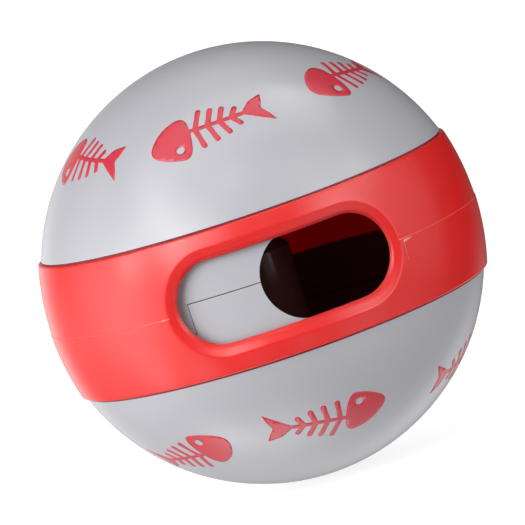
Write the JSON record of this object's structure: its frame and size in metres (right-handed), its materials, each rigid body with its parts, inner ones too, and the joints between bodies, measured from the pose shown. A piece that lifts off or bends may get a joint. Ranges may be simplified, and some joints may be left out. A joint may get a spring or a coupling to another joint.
{
  "type": "treat dispensing ball",
  "caption": "Hollow treat ball for cats: plugged grey shells with fish skeleton prints, and a red ring whose slot turns over a port to let kibble fall out.",
  "frame": {"origin": "centre of the ball, on the axis that the ring turns about, halfway up the ring", "axes": "+Z along the ring's axis to the upper shell, which has the socket; -Y to the middle of the ring's slot at rest; +X to the right of the slot"},
  "size_m": [0.0606, 0.0598, 0.06],
  "materials": {
    "shell_plastic": "glossy light grey ABS",
    "ring_plastic": "glossy coral red, slightly translucent",
    "print_ink": "satin pad-printed coral red ink"
  },
  "bodies": {
    "lower_shell": {"lower_dome": "shell_plastic", "lower_neck": "shell_plastic", "pin_post": "shell_plastic", "lower_fish_prints": "print_ink"},
    "upper_shell": {"upper_dome": "shell_plastic", "upper_neck": "shell_plastic", "socket_post": "shell_plastic", "upper_fish_prints": "print_ink"},
    "ring": {"slot_ring": "ring_plastic"}
  },
  "joints": [
    {"name": "ring_turn", "type": "hinge", "parent": "lower_shell", "child": "ring", "pos_m": [0, 0, 0], "axis": [0, 0, 1], "continuous": true},
    {"name": "upper_shell_lift", "type": "slide", "parent": "lower_shell", "child": "upper_shell", "axis": [0, 0, 1], "range_m": [0, 0.04]}
  ]
}
